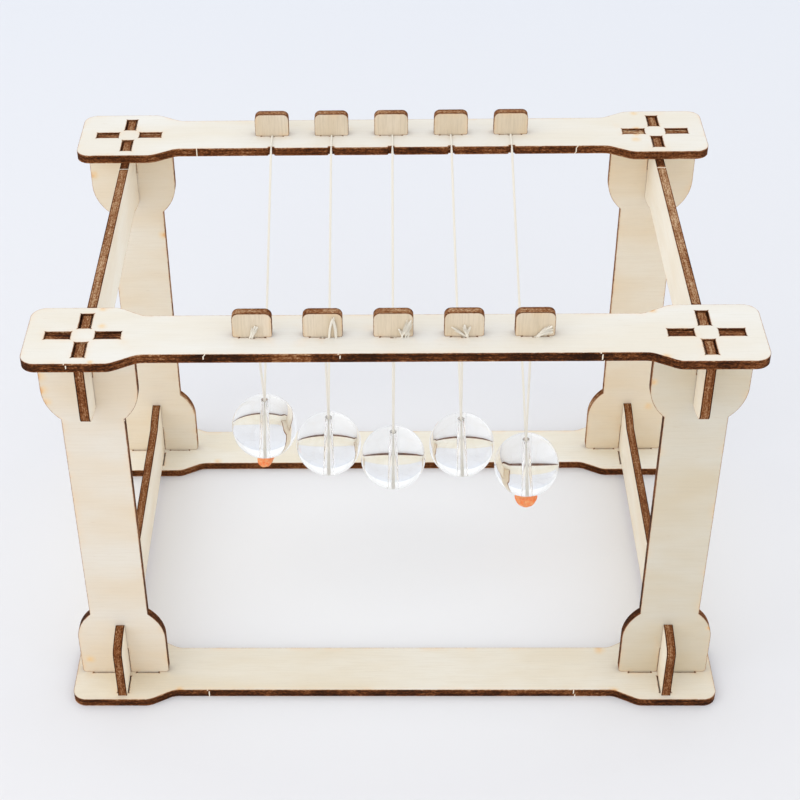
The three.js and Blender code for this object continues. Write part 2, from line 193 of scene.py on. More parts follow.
class Nodes:
    """A short way to write a node tree: every call adds one node and returns its output socket."""

    def __init__(self, name):
        self.material = bpy.data.materials.new(name)
        self.material.use_nodes = True
        self.tree = self.material.node_tree
        self.shader = self.tree.nodes["Principled BSDF"]

    def put(self, socket, value):
        if isinstance(value, bpy.types.NodeSocket):
            self.tree.links.new(value, socket)
        elif hasattr(value, "__len__") and len(value) == 3 and socket.type == "RGBA":
            socket.default_value = (*value, 1)
        else:
            socket.default_value = value

    def look(self, values):
        """Sets the shader's own inputs, each to a value or to another node's output."""
        for name, value in values.items():
            self.put(self.shader.inputs[name], value)

    def add(self, kind, inputs, **settings):
        node = self.tree.nodes.new("ShaderNode" + kind)
        for key, value in settings.items():
            setattr(node, key, value)
        for name, value in inputs.items():
            self.put(node.inputs[name], value)
        return node.outputs

    def attribute(self, name, output="Fac"):
        return self.add("Attribute", {}, attribute_name=name)[output]

    def place(self):
        return self.add("TexCoord", {})["Object"]

    def stretch(self, vector, scale):
        return self.add("VectorMath", {0: vector, 1: scale}, operation="MULTIPLY")[0]

    def noise(self, vector, scale, detail=3, roughness=0.55, distortion=0):
        inputs = {"Vector": vector, "Scale": scale, "Detail": detail, "Roughness": roughness,
                  "Distortion": distortion}
        return self.add("TexNoise", inputs)["Fac"]

    def ramp(self, value, stops):
        node = self.tree.nodes.new("ShaderNodeValToRGB")
        self.put(node.inputs["Fac"], value)
        elements = node.color_ramp.elements
        for i, (place, colour) in enumerate(stops):
            element = elements[i] if i < 2 else elements.new(place)
            element.position = place
            element.color = (*colour, 1)
        return node.outputs["Color"]

    def level(self, value, low, high, to_low=0.0, to_high=1.0):
        inputs = {"Value": value, "From Min": low, "From Max": high, "To Min": to_low, "To Max": to_high}
        return self.add("MapRange", inputs)["Result"]

    def math(self, operation, a, b):
        return self.add("Math", {0: a, 1: b}, operation=operation)[0]

    def plus(self, a, b):
        return self.math("ADD", a, b)

    def minus(self, a, b):
        return self.math("SUBTRACT", a, b)

    def times(self, a, b):
        return self.math("MULTIPLY", a, b)

    def mix(self, share, a, b):
        return self.add("Mix", {"Factor": share, 6: a, 7: b}, data_type="RGBA")[2]

    def bump(self, height, strength, distance):
        inputs = {"Height": height, "Strength": strength, "Distance": distance}
        self.look({"Normal": self.add("Bump", inputs)["Normal"]})


def srgb(red, green, blue):
    """A colour as a screen shows it, 0 to 255, to the linear values that shaders use."""
    def linear(value):
        value /= 255
        return value / 12.92 if value <= 0.04045 else ((value + 0.055) / 1.055) ** 2.4
    return tuple(linear(value) for value in (red, green, blue))


def veneer_material(name, tint, streak_share):
    """Raw basswood face: fine streaks along the grain, faint broad patches, scorch beside each cut."""
    n = Nodes(name)
    pale, warm = [srgb(*colour) for colour in tint]
    grain = n.attribute("grain", "Vector")
    burn = n.attribute("burn")
    broad = n.noise(n.stretch(grain, (0.02, 0.05, 0.05)), 1, 3)
    fibre = n.noise(n.stretch(grain, (0.08, 1.7, 1.7)), 1, 4, 0.6)
    fine = n.noise(n.stretch(grain, (0.4, 7, 7)), 1, 2, 0.6)
    colour = n.mix(n.level(broad, 0.36, 0.64), pale, warm)
    streak = tuple(c * 0.84 for c in warm)
    colour = n.mix(n.level(fibre, 0.45, 0.80, 0, streak_share), colour, streak)
    colour = n.mix(n.level(fine, 0.5, 0.85, 0, streak_share * 0.8), colour, streak)
    pore = n.noise(n.stretch(grain, (0.22, 2.6, 2.6)), 1, 1, 0.5, 0.2)
    colour = n.mix(n.level(pore, 0.72, 0.84, 0, streak_share), colour, srgb(186, 160, 124))

    patch = n.noise(grain, 0.13, 3, 0.6)
    halo = n.times(n.level(burn, 0.02, 0.8), n.level(patch, 0.46, 0.70))
    colour = n.mix(n.times(halo, 0.35), colour, srgb(240, 196, 140))
    uneven = n.level(n.noise(grain, 0.5, 3, 0.6), 0.3, 0.7, 0.6, 1.3)
    smudge = n.times(n.attribute("smudge"), uneven)
    colour = n.mix(n.level(smudge, 0.05, 1.0, 0, 0.7), colour, srgb(238, 198, 134))
    singed = n.times(smudge, burn)
    colour = n.mix(n.level(singed, 0.2, 0.9, 0, 0.75), colour, srgb(216, 150, 86))
    ragged = n.noise(grain, 0.9, 3, 0.65)
    line = n.level(n.plus(burn, n.times(ragged, 0.5)), 1.0, 1.3)
    colour = n.mix(n.times(line, 0.8), colour, srgb(172, 118, 70))
    rough = n.level(fibre, 0.2, 0.8, 0.62, 0.82)
    n.look({"Base Color": colour, "Roughness": rough, "Specular IOR Level": 0.25})
    n.bump(n.plus(fibre, n.times(fine, 0.5)), 0.15, 0.00005)
    return n.material


# What the laser leaves on a cut edge, from soot to wood that is barely browned.
CHAR_STOPS = (
    (0.0, srgb(38, 18, 7)),
    (0.28, srgb(74, 39, 16)),
    (0.52, srgb(122, 70, 35)),
    (0.76, srgb(166, 126, 90)),
    (1.0, srgb(214, 186, 152)),
)


def charred_material(name, shade, rim_share, mottle=1.0):
    """Laser-cut edge: soot streaked along the plies, dark glue lines, rims of their own, pale nicks."""
    n = Nodes(name)
    grain = n.attribute("grain", "Vector")
    slow = n.noise(n.stretch(grain, (0.09, 0.09, 0.3)), 1, 2, 0.5)
    patch = n.noise(n.stretch(grain, (0.4, 0.4, 1.9)), 1, 4, 0.65)
    speckle = n.noise(n.stretch(grain, (1.3, 1.3, 2.6)), 1, 3, 0.75)
    value = n.plus(shade, n.attribute("tone"))
    for part, share in ((slow, 1.1 * mottle), (patch, mottle), (speckle, 1.35)):
        value = n.plus(value, n.times(n.minus(part, 0.5), share))
    # the glue lines and the outer skins, as distances from the middle of the sheet
    off_middle = n.math("ABSOLUTE", n.minus(n.attribute("depth"), 0.5), 0)
    wander = n.plus(off_middle, n.level(patch, 0, 1, -0.06, 0.06))
    from_glue = n.math("ABSOLUTE", n.minus(wander, 0.22), 0)
    value = n.minus(value, n.level(from_glue, 0.09, 0.0, 0, 0.16))
    value = n.plus(value, n.level(wander, 0.33, 0.46, 0, rim_share))
    colour = n.ramp(value, CHAR_STOPS)
    torn = n.plus(n.attribute("fresh"), n.times(speckle, 0.3))
    colour = n.mix(n.level(torn, 0.72, 0.95), colour, srgb(248, 238, 218))
    n.look({"Base Color": colour, "Roughness": 0.85, "Specular IOR Level": 0.1})
    n.bump(n.plus(patch, speckle), 0.6, 0.00012)
    return n.material


def cotton_material():
    n = Nodes("cotton_thread")
    place = n.place()
    fibre = n.noise(place, 9000, 3, 0.6)
    colour = n.mix(fibre, srgb(222, 215, 200), srgb(250, 246, 236))
    n.look({"Base Color": colour, "Roughness": 0.95, "Sheen Weight": 0.35})
    n.bump(fibre, 0.4, 0.00003)
    return n.material


def acrylic_material():
    """Clear cast acrylic: faint waviness in the polish."""
    n = Nodes("clear_acrylic")
    place = n.place()
    wave = n.noise(place, 130, 2, 0.5)
    colour = n.mix(wave, (0.965, 0.972, 0.97), (0.985, 0.99, 0.988))
    rough = n.level(wave, 0.3, 0.8, 0.0, 0.015)
    n.look({"Base Color": colour, "Roughness": rough, "IOR": 1.49, "Transmission Weight": 1.0})
    n.bump(wave, 0.05, 0.00002)
    return n.material


def bore_material():
    """The drilled wall of a ball's hole: rough from the drill, with a faint emission as painted light for
    the scattered light.
    """
    n = Nodes("drilled_acrylic")
    place = n.place()
    scratch = n.noise(n.stretch(place, (2600, 2600, 300)), 1, 2, 0.5)
    colour = n.mix(scratch, (1.0, 0.99, 0.975), (1.0, 1.0, 1.0))
    rough = n.level(scratch, 0.3, 0.8, 0.08, 0.2)
    n.look({"Base Color": colour, "Roughness": rough, "IOR": 1.2, "Transmission Weight": 0.85})
    # painted light: a faint emission brightens the bore, though it is no lamp
    n.look({"Emission Color": (1.0, 0.98, 0.95), "Emission Strength": 0.06})
    n.bump(scratch, 0.1, 0.00002)
    return n.material


def clay_material():
    n = Nodes("orange_foam")
    place = n.place()
    cells = n.add("TexVoronoi", {"Vector": place, "Scale": 1500})["Distance"]
    mottle = n.noise(place, 900, 3, 0.6)
    colour = n.mix(n.level(mottle, 0.35, 0.7), srgb(255, 130, 64), srgb(255, 190, 136))
    colour = n.mix(n.level(cells, 0.5, 0.9, 0, 0.6), colour, srgb(224, 112, 66))
    n.look({"Base Color": colour, "Roughness": 0.9})
    n.look({"Subsurface Weight": 0.15, "Subsurface Radius": (0.002, 0.001, 0.0005)})
    n.bump(n.plus(mottle, cells), 0.5, 0.0002)
    return n.material


def floor_material():
    n = Nodes("studio_floor")
    place = n.place()
    depth = n.add("SeparateXYZ", {0: place})["Y"]
    # painted light: the floor turns darker and bluer towards the back
    colour = n.mix(n.level(depth, -0.15, 0.55), (0.79, 0.785, 0.80), (0.75, 0.77, 0.815))
    # painted light: a paler middle, so that the shade inside the frame stays light
    oval = n.stretch(place, (0.8, 1.2, 1))
    from_middle = n.add("VectorMath", {0: oval}, operation="LENGTH")["Value"]
    colour = n.mix(n.level(from_middle, 0.13, 0.04), colour, (0.87, 0.87, 0.875))
    n.look({"Base Color": colour, "Roughness": 0.7, "Specular IOR Level": 0.15})
    return n.material


# ---- plates: outlines in millimetres ----

def arc_points(corner, before, after, radius):
    inward = (before - corner).normalized()
    outward = (after - corner).normalized()
    turn = inward.angle(outward)
    reach = radius / math.tan(turn / 2)
    centre = corner + (inward + outward).normalized() * (radius / math.sin(turn / 2))
    start = corner + inward * reach - centre
    sweep = math.pi - turn
    side = 1 if inward.x * outward.y - inward.y * outward.x > 0 else -1
    steps = max(3, math.ceil(sweep * radius / ARC_STEP))
    angles = [-side * sweep * step / steps for step in range(steps + 1)]
    return [centre + Matrix.Rotation(angle, 2) @ start for angle in angles]


def rounded_loop(corners):
    """Corners (x, y, radius) to a closed line of points no more than CUT_STEP apart."""
    loop = []
    count = len(corners)
    for i, (x, y, radius) in enumerate(corners):
        corner = Vector((x, y))
        before = Vector(corners[i - 1][:2])
        after = Vector(corners[(i + 1) % count][:2])
        if radius > 0:
            loop.extend(arc_points(corner, before, after, radius))
        else:
            loop.append(corner)
    return fill_steps(loop)


def fill_steps(loop):
    filled = []
    for i, point in enumerate(loop):
        ahead = loop[(i + 1) % len(loop)]
        length = (ahead - point).length
        if length < 1e-6:
            continue
        steps = max(1, math.ceil(length / CUT_STEP))
        filled.extend(point.lerp(ahead, step / steps) for step in range(steps))
    return filled


def slot_corners(x, y, length, width):
    """A slot's four corners, each with the small pit a laser burns there, walked clockwise."""
    corners = []
    for side_x, side_y in ((-1, -1), (-1, 1), (1, 1), (1, -1)):
        corner = Vector((x + side_x * length / 2, y + side_y * width / 2))
        along_x = corner - Vector((side_x * OVERBURN_REACH, 0))
        along_y = corner - Vector((0, side_y * OVERBURN_REACH))
        pit = corner + Vector((side_x, side_y)) * OVERBURN
        corners.append([along_x, pit, along_y] if side_x == side_y else [along_y, pit, along_x])
    return corners


def slot_loop(x, y, length, width):
    """A hole, walked clockwise so that its material side matches an outline's."""
    return fill_steps([point for corner in slot_corners(x, y, length, width) for point in corner])


def peg_slot_loop(x):
    """A peg's slot with a groove in the middle of each long wall, where the thread passes."""
    corners = slot_corners(x, 0, SLOT_LENGTH, PEG_SLOT_WIDTH)
    half, wall, deep = GROOVE_WIDTH / 2, PEG_SLOT_WIDTH / 2, GROOVE_SPAN / 2
    upper = [(x - half, wall), (x - half, deep), (x + half, deep), (x + half, wall)]
    lower = [(x + half, -wall), (x + half, -deep), (x - half, -deep), (x - half, -wall)]
    return fill_steps([
        *corners[0], *corners[1], *[Vector(point) for point in upper],
        *corners[2], *corners[3], *[Vector(point) for point in lower],
    ])


def material_sides(loop):
    """Unit directions from each point of a loop into the wood."""
    points = np.array([(p.x, p.y) for p in loop])
    along = np.roll(points, -1, 0) - points
    along /= np.linalg.norm(along, axis=1)[:, None]
    before = np.roll(along, 1, 0)
    inward = np.stack([-(along + before)[:, 1], (along + before)[:, 0]], 1)
    inward /= np.linalg.norm(inward, axis=1)[:, None]
    spread = np.clip((inward[:, 0] * -along[:, 1] + inward[:, 1] * along[:, 0]), 0.5, 1)
    return points, inward / spread[:, None]


def inside(points, loop):
    """Which points lie inside a closed line, by counting crossings."""
    hits = np.zeros(len(points), bool)
    ahead = np.roll(loop, -1, 0)
    for (x1, y1), (x2, y2) in zip(loop, ahead):
        crosses = (y1 > points[:, 1]) != (y2 > points[:, 1])
        if not crosses.any():
            continue
        where = (x2 - x1) * (points[crosses, 1] - y1) / (y2 - y1) + x1
        hits[crosses] ^= points[crosses, 0] < where
    return hits


def distance_to(points, edge):
    nearest = np.full(len(points), 1e9)
    for start in range(0, len(edge), 256):
        part = edge[start:start + 256]
        gaps = np.linalg.norm(points[:, None] - part[None], axis=2)
        nearest = np.minimum(nearest, gaps.min(1))
    return nearest


def smudge_points(smudges):
    """A small close grid round each smudge (x, y, reach), so that it has a smooth edge."""
    steps = range(-4, 5)
    points = [(x + column * reach * 0.5, y + row * reach * 0.5)
              for x, y, reach in smudges for column in steps for row in steps]
    return np.array(points).reshape(-1, 2)


def face_points(edge, inward, loops, smudges):
    """Points inside the face: rows beside the cut for the scorch, smudges, then a coarse grid."""
    rows = []
    for ring, distance in enumerate(SCORCH_RINGS):
        thin = slice(None, None, 1 + 2 * ring)
        row = edge[thin] + inward[thin] * distance
        rows.append(row[distance_to(row, edge) > distance * 0.85])
    low, high = edge.min(0), edge.max(0)
    xs = np.arange(low[0] + FACE_GRID, high[0], FACE_GRID)
    ys = np.arange(low[1] + FACE_GRID, high[1], FACE_GRID)
    grid = np.array([(x, y) for x in xs for y in ys]).reshape(-1, 2)
    if len(grid):
        rows.append(grid[distance_to(grid, edge) > SCORCH_RINGS[-1] * 1.5])
    close = smudge_points(smudges)
    if len(close):
        close = close[inside(close, loops[0]) & (distance_to(close, edge) > SCORCH_RINGS[0])]
        for hole in loops[1:]:
            close = close[~inside(close, hole)]
        rows.append(close)
    return np.concatenate(rows)


def torn_rows(walls, nicks, levels):
    """For each level, which wall points a nick tears. A nick is (x, y, slant, lowest level)."""
    rows = [np.zeros(len(walls)) for _ in levels]
    for x, y, slant, lowest in nicks:
        for row, z in zip(rows, levels):
            if z >= lowest:
                off = np.hypot(walls[:, 0] - x - slant * (PLY - z), walls[:, 1] - y)
                row[np.argmin(off)] = 1
    return rows


def plate_mesh(name, outline, holes, grain_angle, seed, nicks=(), tones=(), smudges=(), chipped=False):
    """A laser-cut plate: veneer faces, charred walls with chamfered lips, and attributes for the shaders.

    nicks are as in torn_rows. tones are stretches of edge, (lowest x, highest x, lowest y, highest y, step),
    left lighter or darker. smudges are scorched spots (x, y, reach). chipped tears the skin here and there.
    """
    loops = [outline, *holes]
    wavered = []
    for loop in loops:
        points, inward = material_sides(loop)
        shifts = [noise.noise(Vector((x * 0.9, y * 0.9, seed))) for x, y in points]
        points = points + inward * (np.array(shifts)[:, None] * CUT_WAVER)
        wavered.append((points, inward))
    walls = np.concatenate([w[0] for w in wavered])
    inward = np.concatenate([w[1] for w in wavered])
    levels = [0, CHAMFER, PLY / 4, PLY / 2, PLY * 3 / 4, PLY - CHAMFER, PLY]
    torn = torn_rows(walls, nicks, levels)
    tone = np.zeros(len(walls))
    for x_low, x_high, y_low, y_high, step in tones:
        across = (walls[:, 0] > x_low) & (walls[:, 0] < x_high)
        tone += step * (across & (walls[:, 1] > y_low) & (walls[:, 1] < y_high))
    lip = walls + inward * CHAMFER
    ends = np.cumsum([len(loop) for loop in loops])
    lip_loops = np.split(lip, ends[:-1])
    extra = face_points(lip, inward, lip_loops, smudges)
    cap = np.concatenate([lip, extra])

    count = len(walls)
    rows = []
    for z, torn_row in zip(levels, torn):
        edge = lip if z in (0, PLY) else walls - inward * torn_row[:, None] * NICK_OUT
        rows.append(np.column_stack([edge, np.full(count, z)]))
    top_start = len(levels) * count
    bottom_start = top_start + len(extra)
    vertices = np.concatenate([
        *rows,
        np.column_stack([extra, np.full(len(extra), PLY)]),
        np.column_stack([extra, np.zeros(len(extra))]),
    ])

    quads = []
    first = 0
    edges = []
    for loop in loops:
        size = len(loop)
        for i in range(size):
            here, ahead = first + i, first + (i + 1) % size
            edges.append((here, ahead))
            for row in range(len(levels) - 1):
                below, above = row * count, (row + 1) * count
                quads.append((below + here, below + ahead, above + ahead, above + here))
        first += size

    flat = [Vector(p) for p in cap]
    found = delaunay_2d_cdt(flat, edges, [], 0, 1e-6)
    made, triangles, origin = np.array([tuple(v) for v in found[0]]), found[2], found[3]
    source = [entry[0] for entry in origin]
    middles = np.array([made[list(t)].mean(0) for t in triangles])
    keep = inside(middles, lip_loops[0])
    for hole in lip_loops[1:]:
        keep &= ~inside(middles, hole)
    top_row = (len(levels) - 1) * count
    caps = []
    for triangle, kept in zip(triangles, keep):
        if not kept:
            continue
        corners = [source[v] for v in triangle]
        caps.append([top_row + v if v < count else top_start + v - count for v in corners])
        caps.append([v if v < count else bottom_start + v - count for v in reversed(corners)])

    mesh = smooth_mesh(name, vertices, quads + caps, 28)
    mesh.polygons.foreach_set("material_index", [1] * len(quads) + [0] * len(caps))

    near = distance_to(extra, lip)
    burn_cap = np.exp(-near / 0.8)
    if chipped:
        chips = [noise.noise(Vector((x * 1.1, y * 1.1, seed + 9))) > CHIP_LEVEL for x, y in walls]
        torn[-1] = np.maximum(torn[-1], chips)
    smudged = np.zeros(len(vertices))
    for x, y, reach in smudges:
        off = np.hypot(vertices[:, 0] - x, vertices[:, 1] - y)
        smudged = np.maximum(smudged, np.exp(-(off / reach) ** 2))
    unmarked = np.zeros(2 * len(extra))
    write_attribute(mesh, "smudge", smudged)
    write_attribute(mesh, "tone", np.concatenate([np.tile(tone, len(levels)), unmarked]))
    write_attribute(mesh, "burn", np.concatenate([np.ones(top_start), burn_cap, burn_cap]))
    write_attribute(mesh, "depth", vertices[:, 2] / PLY)
    write_attribute(mesh, "fresh", np.concatenate([*torn, unmarked]))
    cos, sin = math.cos(grain_angle), math.sin(grain_angle)
    shift = random.Random(seed).uniform(-400, 400)
    grain = np.column_stack([
        vertices[:, 0] * cos + vertices[:, 1] * sin + shift,
        vertices[:, 1] * cos - vertices[:, 0] * sin + shift * 0.7,
        vertices[:, 2] + shift * 0.3,
    ])
    attribute = mesh.attributes.new("grain", "FLOAT_VECTOR", "POINT")
    attribute.data.foreach_set("vector", grain.astype(np.float32).ravel())
    return mesh


def smooth_mesh(name, vertices, faces, sharpest=None):
    """A mesh of points in millimetres, shaded smooth except at edges sharper than sharpest, in degrees."""
    mesh = bpy.data.meshes.new(name)
    mesh.from_pydata([tuple(v * MM) for v in vertices], [], faces)
    mesh.polygons.foreach_set("use_smooth", [True] * len(faces))
    if sharpest:
        mesh.set_sharp_from_angle(angle=math.radians(sharpest))
    return mesh


def write_attribute(mesh, name, values):
    attribute = mesh.attributes.new(name, "FLOAT", "POINT")
    attribute.data.foreach_set("value", np.asarray(values, np.float32))


def add_piece(name, mesh, matrix, body, node, materials):
    """body is None for a piece that is attached to no body."""
    piece = new_object(name, mesh)
    for material in materials:
        mesh.materials.append(material)
    piece.matrix_world = matrix
    if body:
        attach(piece, body)
    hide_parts(node)
    return piece


def placed(x, y, z, turn=None):
    matrix = Matrix.Translation(Vector((x, y, z)) * MM)
    return matrix @ turn if turn else matrix


def upright():
    """Turns a plate's own y to +Z and its thickness to -Y."""
    return Matrix.Rotation(math.pi / 2, 4, "X")


def basis(x, y, z):
    return Matrix((x, y, z)).transposed().to_4x4()


# ---- rails ----

def peg_positions():
    return [(i - (COUNT - 1) / 2) * PITCH for i in range(COUNT)]


def notch_corners(x):
    half = NOTCH_WIDTH / 2
    edge = RAIL_MID_HALF_WIDTH
    return [
        (x + half, edge, NOTCH_EASE),
        (x + half, edge - NOTCH_DEPTH, 0),
        (x - half, edge - NOTCH_DEPTH, 0),
        (x - half, edge, NOTCH_EASE),
    ]


def rail_corners(with_pegs):
    end = [
        (RAIL_HALF_LENGTH, RAIL_END_HALF_WIDTH, RAIL_CORNER),
        (NECK_OUTER_X, RAIL_END_HALF_WIDTH, NECK_RADIUS),
        (NECK_INNER_X, RAIL_MID_HALF_WIDTH, NECK_RADIUS),
    ]
    front = [(-x, -y, radius) for x, y, radius in end] + [(x, -y, radius) for x, y, radius in end[::-1]]
    notched = end
    if with_pegs:
        for x in reversed(peg_positions()):
            notched = notched + notch_corners(x)
    return front + notched + [(-x, y, radius) for x, y, radius in end[::-1]]


def rail_holes(with_pegs):
    holes = []
    for x in (-POST_X, POST_X):
        for way in (-1, 1):
            holes.append(slot_loop(x + way * TAB_OFFSET, 0, SLOT_LENGTH, SLOT_WIDTH))
            holes.append(slot_loop(x, way * TAB_OFFSET, SLOT_WIDTH, SLOT_LENGTH))
    if with_pegs:
        holes.extend(peg_slot_loop(x) for x in peg_positions())
    return holes


# ---- posts ----

def mirrored(half):
    """An outline's corners from those of its right half."""
    return half + [(-x, y, radius) for x, y, radius in half][::-1]


def bulb_corners(rail_face, towards):
    centre = rail_face + towards * BULB_CENTRE
    end = math.acos(SHAFT_HALF_WIDTH / BULB_HALF_WIDTH)
    steps = 32
    return [
        (BULB_HALF_WIDTH * math.cos(angle), centre + towards * BULB_HALF_WIDTH * math.sin(angle), 0)
        for angle in (end * step / steps for step in range(steps + 1))
    ]


def post_end_corners(rail_face, towards):
    lap = LAP_HALF_WIDTH
    tip = rail_face - towards * TAB_DEPTH
    near, far = TAB_OFFSET - TAB_LENGTH / 2, TAB_OFFSET + TAB_LENGTH / 2
    return [
        (lap, rail_face + towards * LAP_DEPTH, 0),
        (lap, rail_face, 0),
        (near, rail_face, 0),
        (near, tip, 0),
        (far, tip, 0),
        (far, rail_face, 0),
        (BULB_HALF_WIDTH, rail_face, FOOT_CORNER),
    ]


def post_corners():
    lower = post_end_corners(0, 1) + bulb_corners(0, 1)
    upper = post_end_corners(STOREY, -1) + bulb_corners(STOREY, -1)
    return mirrored(lower + upper[::-1])


# ---- side beams ----

def crown(distance):
    rise = BEAM_CROWN - BEAM_MID_HEIGHT
    radius = (CROWN_HALF_SPAN ** 2 + rise ** 2) / (2 * rise)
    return BEAM_CROWN - radius + math.sqrt(radius ** 2 - distance ** 2)


def beam_end_corners():
    lap, tip = LAP_HALF_WIDTH, -TAB_DEPTH
    corners = []
    for way in (-1, 1):
        middle = RAIL_Y + way * TAB_OFFSET
        near, far = middle - TAB_LENGTH / 2, middle + TAB_LENGTH / 2
        corners += [(near, 0, 0), (near, tip, 0), (far, tip, 0), (far, 0, 0)]
    stub = BEAM_HALF_LENGTH - RAIL_Y
    corners += [(BEAM_HALF_LENGTH, 0, 0), (BEAM_HALF_LENGTH, crown(stub), BEAM_CORNER)]
    for step in range(1, 9):
        distance = STUB_CROWN_START + (lap - STUB_CROWN_START) * step / 8
        corners.append((RAIL_Y + distance, crown(distance), 0))
    corners += [(RAIL_Y + lap, LAP_DEPTH, 0), (RAIL_Y - lap, LAP_DEPTH, 0)]
    for step in range(17):
        distance = lap + (CROWN_HALF_SPAN - lap) * step / 16
        corners.append((RAIL_Y - distance, crown(distance), 0))
    return corners


# ---- pegs ----

def peg_corners():
    head, tongue = PEG_HEAD_WIDTH / 2, TAB_LENGTH / 2
    return [
        (-tongue, -TONGUE_DEPTH, 0),
        (tongue, -TONGUE_DEPTH, 0),
        (tongue, 0, 0),
        (head, 0, PEG_LOW_CORNER),
        (head, PEG_HEAD_HEIGHT, PEG_TOP_CORNER),
        (-head, PEG_HEAD_HEIGHT, PEG_TOP_CORNER),
        (-head, 0, PEG_LOW_CORNER),
        (-tongue, 0, 0),
    ]


# ---- marks that the cutting left, in each plate's own millimetres ----

RAIL_NICKS = {
    "front_top_rail": [(-91.9, -RAIL_END_HALF_WIDTH, 0.2, 0.8), (-53.1, -RAIL_MID_HALF_WIDTH, -0.3, 0.8),
                       (-15.4, -RAIL_MID_HALF_WIDTH, 0.35, 1.0), (57.9, -RAIL_MID_HALF_WIDTH, 0.3, 0)],
    "back_top_rail": [(64.8, RAIL_MID_HALF_WIDTH, 0, 0), (-61.7, RAIL_MID_HALF_WIDTH, 0.2, 0)],
    "front_bottom_rail": [(-60.7, -RAIL_MID_HALF_WIDTH, 0.15, 0), (58.7, -RAIL_MID_HALF_WIDTH, 0.2, 0)],
}
POST_NICKS = {"front_left_post": [(SHAFT_HALF_WIDTH, 105, 0, 0)]}
TOP_BEAM_NICKS = {"left": [(-41.3, 0, 0, 0)], "right": [(-40, 0, 0, 0)]}
RAIL_SMUDGES = {
    "front_top_rail": [(-84.3, 13.2, 1.0), (-83.4, 4.5, 1.2), (-84.7, -13.2, 0.8), (74.6, 11.2, 1.1),
                       (75.8, -11.6, 1.1)],
    "back_top_rail": [(-82.5, -1.8, 1.3), (-82, 2.4, 1.2), (-81.5, 5.6, 1.4), (-82.7, -12.6, 1.1)],
    "front_bottom_rail": [(-70, -9.5, 1.1), (-90, 5, 1.3), (69, 8.6, 1.6), (72, -10.2, 1.4)],
    "back_bottom_rail": [(66, 8.6, 1.3)],
}
POST_SMUDGES = {
    "front_left_post": [(-11.4, 6, 1.4), (-13.9, 126, 1.3), (-14, 121, 1.7), (-13.9, 116, 1.6),
                        (-12.8, 112, 1.3)],
    "front_right_post": [(-13.4, 118, 1.0), (13.4, 20, 1.0)],
    "back_left_post": [(-13.2, 120, 1.4), (8.6, 96, 1.3)],
    "back_right_post": [(-13.4, 108, 1.1), (8, 20, 1.4)],
}


def rail_tones(node):
    """A rail's outer edge is sootier than its slots. The front top rail's has one brown stretch."""
    edge = (-RAIL_END_HALF_WIDTH - 1, -RAIL_MID_HALF_WIDTH + 1)
    tones = [(-RAIL_HALF_LENGTH, RAIL_HALF_LENGTH, *edge, -0.04)]
    if node == "front_top_rail":
        tones.append((-34, -23, *edge, 0.16))
    return tones


def tab_tip_tones(middles, face, towards):
    """The tips of the tabs show in the rails' slots and are a little paler than the outer edges."""
    tip = face - towards * TAB_DEPTH
    half = TAB_LENGTH / 2 - 0.2
    return [(x - half, x + half, tip - TONE_REACH, tip + TONE_REACH, 0.06) for x in middles]


def post_tones():
    middles = (-TAB_OFFSET, TAB_OFFSET)
    return tab_tip_tones(middles, STOREY, -1) + tab_tip_tones(middles, 0, 1)


def beam_tones():
    """The straight edge is pale and speckled, with a painted shadow of the rails beside them; the crowned
    ends are darker.
    """
    inner = RAIL_Y - RAIL_MID_HALF_WIDTH
    middles = [side * (RAIL_Y + way * TAB_OFFSET) for side in (-1, 1) for way in (-1, 1)]
    tones = tab_tip_tones(middles, 0, 1)
    tones.append((-inner + 9, inner - 9, -TONE_REACH, TONE_REACH, 0.16))
    for side in (-1, 1):
        # painted shadow: the rail's shadow on the straight edge next to it
        low, high = sorted((side * (inner - 8.5), side * (inner + 1)))
        tones.append((low, high, -TONE_REACH, TONE_REACH, -0.22))
        low, high = sorted((side * (RAIL_Y - 3), side * BEAM_HALF_LENGTH + side))
        tones.append((low, high, 1, BEAM_CROWN + 1, -0.03))
    return tones


def peg_tones():
    head = PEG_HEAD_WIDTH / 2
    return [(-head + 1, head - 1, PEG_HEAD_HEIGHT - TONE_REACH, PEG_HEAD_HEIGHT + TONE_REACH, 0.1)]


def add_plate(node, kind, place, looks, corners, seed, holes=(), grain_angle=0, **marks):
    """Cuts one plate of the frame, which stands in for the CAD node. marks are plate_mesh's."""
    mesh = plate_mesh(f"{node}_ply", rounded_loop(corners), holes, grain_angle, seed, **marks)
    add_piece(f"{node}_ply", mesh, place, "frame", node, looks)


